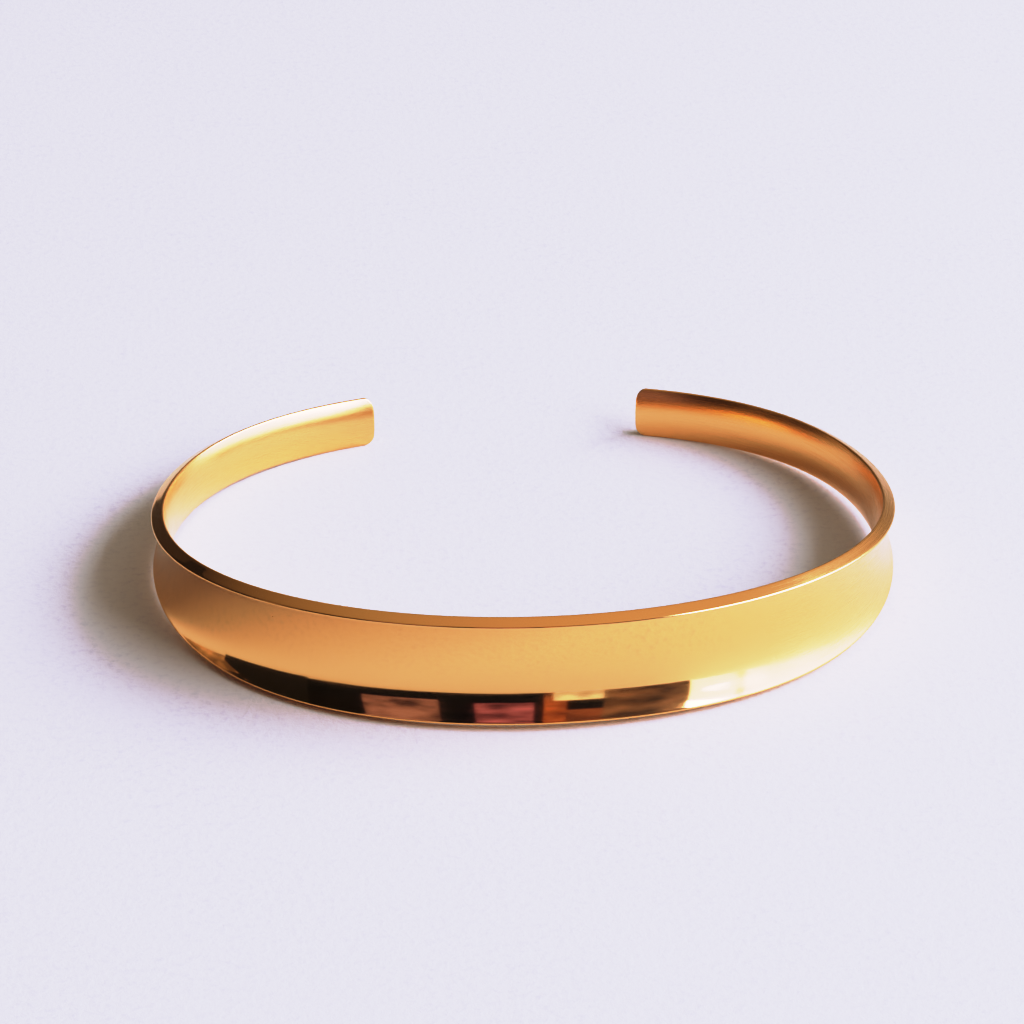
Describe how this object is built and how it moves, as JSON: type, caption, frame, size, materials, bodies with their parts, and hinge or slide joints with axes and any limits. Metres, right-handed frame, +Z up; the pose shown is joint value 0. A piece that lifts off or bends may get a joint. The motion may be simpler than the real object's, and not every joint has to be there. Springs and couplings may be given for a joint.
{
  "type": "cuff bracelet",
  "caption": "Open oval cuff bracelet of polished gold-coloured metal, hollowed across its width, wide at the front and tapering to two narrow arms with rounded tips.",
  "frame": {"origin": "on the resting plane, under the middle of the cuff's bounding box", "axes": "+Z up as the cuff lies on its side, -Y towards the wide front, +Y towards the gap between the tips, x = 0 the plane of symmetry"},
  "size_m": [0.063, 0.0522, 0.0098],
  "materials": {
    "polished_gold": "mirror-polished yellow gold plating with faint hairlines and a few tiny specks"
  },
  "bodies": {
    "root": {"cuff": "polished_gold"}
  },
  "joints": []
}
